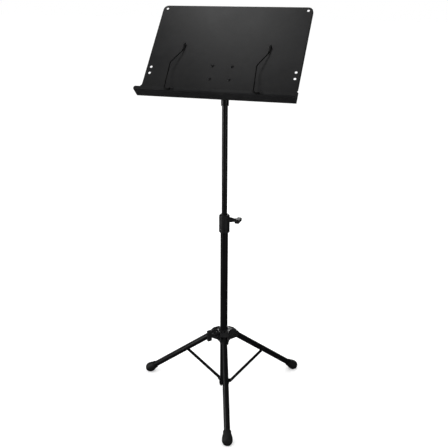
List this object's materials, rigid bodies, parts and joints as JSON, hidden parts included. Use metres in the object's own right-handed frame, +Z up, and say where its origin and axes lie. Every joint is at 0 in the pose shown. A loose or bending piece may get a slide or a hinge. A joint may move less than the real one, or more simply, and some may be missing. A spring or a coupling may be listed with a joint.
{
  "type": "music stand",
  "caption": "Orchestra music stand with a tilting sheet-steel desk and tray, wire page holders, telescopic pole and folding tripod with rubber feet.",
  "frame": {"origin": "middle of the stand's outline on the floor; the pole stands 36 mm towards +X and 26 mm towards +Y from it", "axes": "+Z up along the pole, the desk faces -Y, +X to the right of someone who looks at the desk; the tripod is turned 20 degrees, its front leg towards +X"},
  "size_m": [0.5608, 0.5533, 1.2871],
  "materials": {
    "board_steel": "fine satin powder coat, charcoal black",
    "black_steel": "satin black powder coat",
    "zinc": "zinc plated",
    "black_plastic": "moulded, fine grain",
    "nylon": "matt",
    "rubber": "matt"
  },
  "bodies": {
    "base": {"lower_tube": "black_steel", "tube_bottom_plug": "nylon", "brace_collar": "black_steel", "clamp_collar": "black_plastic", "clamp_bush": "nylon"},
    "clamp_knob_set": {"clamp_screw": "zinc", "clamp_knob": "black_plastic"},
    "upper_pole": {"upper_tube": "black_steel", "upper_tube_cap": "nylon", "upper_tube_guide": "nylon"},
    "liner": {"socket_liner": "nylon"},
    "head": {"tilt_head": "black_steel", "tilt_bolt": "zinc", "tilt_washer_left": "nylon", "tilt_washer_right": "nylon"},
    "thumbscrew": {"socket_thumbscrew": "black_plastic"},
    "tilt_knob_set": {"tilt_knob": "black_plastic"},
    "desk": {"desk_plate": "board_steel", "back_bracket": "black_steel", "desk_rivet_1": "black_steel", "desk_rivet_2": "black_steel", "desk_rivet_3": "black_steel", "desk_rivet_4": "black_steel", "wire_clip_left": "black_steel", "wire_clip_right": "black_steel", "clip_rivet_left": "black_steel", "clip_rivet_right": "black_steel"},
    "page_holder_left": {"page_wire_left": "black_steel", "wire_tip_left": "black_plastic"},
    "page_holder_right": {"page_wire_right": "black_steel", "wire_tip_right": "black_plastic"},
    "hub_set": {"hub": "black_steel", "hub_bush": "nylon"},
    "hub_knob_set": {"hub_screw": "zinc", "hub_knob": "black_plastic"},
    "leg_front": {"leg_tube_front": "black_steel", "rubber_foot_front": "rubber", "leg_pivot_front": "black_steel", "brace_leg_rivet_front": "black_steel"},
    "brace_arm_front": {"brace_front": "black_steel", "brace_collar_rivet_front": "black_steel"},
    "leg_right": {"leg_tube_right": "black_steel", "rubber_foot_right": "rubber", "leg_pivot_right": "black_steel", "brace_leg_rivet_right": "black_steel"},
    "brace_arm_right": {"brace_right": "black_steel", "brace_collar_rivet_right": "black_steel"},
    "leg_left": {"leg_tube_left": "black_steel", "rubber_foot_left": "rubber", "leg_pivot_left": "black_steel", "brace_leg_rivet_left": "black_steel"},
    "brace_arm_left": {"brace_left": "black_steel", "brace_collar_rivet_left": "black_steel"}
  },
  "joints": [
    {"name": "tripod_fold", "type": "slide", "parent": "base", "child": "hub_set", "axis": [0, 0, 1], "range_m": [0, 0.13162]},
    {"name": "hub_knob_turn", "type": "hinge", "parent": "hub_set", "child": "hub_knob_set", "pos_m": [0.00707, -0.00847, 0.23102], "axis": [-0.6428, -0.766, 0], "continuous": true},
    {"name": "height_slide", "type": "slide", "parent": "base", "child": "upper_pole", "axis": [0, 0, 1], "range_m": [-0.31, 0.1]},
    {"name": "clamp_knob_turn", "type": "hinge", "parent": "base", "child": "clamp_knob_set", "pos_m": [0.076, 0.026, 0.6335], "axis": [1, 0, 0], "continuous": true},
    {"name": "desk_swivel", "type": "hinge", "parent": "upper_pole", "child": "liner", "pos_m": [0.036, 0.026, 1.025], "axis": [0, 0, 1], "continuous": true},
    {"name": "desk_lift_off", "type": "slide", "parent": "liner", "child": "head", "axis": [0, 0, 1], "range_m": [0, 0.05]},
    {"name": "thumbscrew_turn", "type": "hinge", "parent": "head", "child": "thumbscrew", "pos_m": [0.036, 0.056, 1.019], "axis": [0, 1, 0], "continuous": true},
    {"name": "desk_tilt", "type": "hinge", "parent": "head", "child": "desk", "pos_m": [0.036, 0.026, 1.089], "axis": [-1, 0, 0], "range_deg": [-41, 49]},
    {"name": "tilt_knob_turn", "type": "hinge", "parent": "head", "child": "tilt_knob_set", "pos_m": [0.061, 0.026, 1.089], "axis": [1, 0, 0], "continuous": true},
    {"name": "page_wire_left_swing", "type": "hinge", "parent": "desk", "child": "page_holder_left", "pos_m": [-0.099, -0.10787, 1.06227], "axis": [1, 0, 0], "range_deg": [0, 110]},
    {"name": "page_wire_right_swing", "type": "hinge", "parent": "desk", "child": "page_holder_right", "pos_m": [0.171, -0.10787, 1.06227], "axis": [1, 0, 0], "range_deg": [0, 110]},
    {"name": "leg_front_fold", "type": "hinge", "parent": "hub_set", "child": "leg_front", "pos_m": [0.04968, -0.01159, 0.21702], "axis": [0.9397, 0.342, 0], "range_deg": [0, 50.37]},
    {"name": "brace_front_fold", "type": "hinge", "parent": "leg_front", "child": "brace_arm_front", "pos_m": [0.08976, -0.1217, 0.12662], "axis": [-0.9397, -0.342, 0], "range_deg": [0, 99.45]},
    {"name": "leg_right_fold", "type": "hinge", "parent": "hub_set", "child": "leg_right", "pos_m": [0.06171, 0.05664, 0.21702], "axis": [-0.766, 0.6428, 0], "range_deg": [0, 50.37]},
    {"name": "brace_right_fold", "type": "hinge", "parent": "leg_right", "child": "brace_arm_right", "pos_m": [0.13703, 0.14641, 0.12662], "axis": [0.766, -0.6428, 0], "range_deg": [0, 99.45]},
    {"name": "leg_left_fold", "type": "hinge", "parent": "hub_set", "child": "leg_left", "pos_m": [-0.00339, 0.03295, 0.21702], "axis": [-0.1736, -0.9848, 0], "range_deg": [0, 50.37]},
    {"name": "brace_left_fold", "type": "hinge", "parent": "leg_left", "child": "brace_arm_left", "pos_m": [-0.11879, 0.05329, 0.12662], "axis": [0.1736, 0.9848, 0], "range_deg": [0, 99.45]}
  ],
  "couplings": [
    {"joint": "leg_front_fold", "follows": "tripod_fold", "rad_per_m": 6.6766},
    {"joint": "brace_front_fold", "follows": "tripod_fold", "rad_per_m": 13.185},
    {"joint": "leg_right_fold", "follows": "tripod_fold", "rad_per_m": 6.6766},
    {"joint": "brace_right_fold", "follows": "tripod_fold", "rad_per_m": 13.185},
    {"joint": "leg_left_fold", "follows": "tripod_fold", "rad_per_m": 6.6766},
    {"joint": "brace_left_fold", "follows": "tripod_fold", "rad_per_m": 13.185}
  ]
}
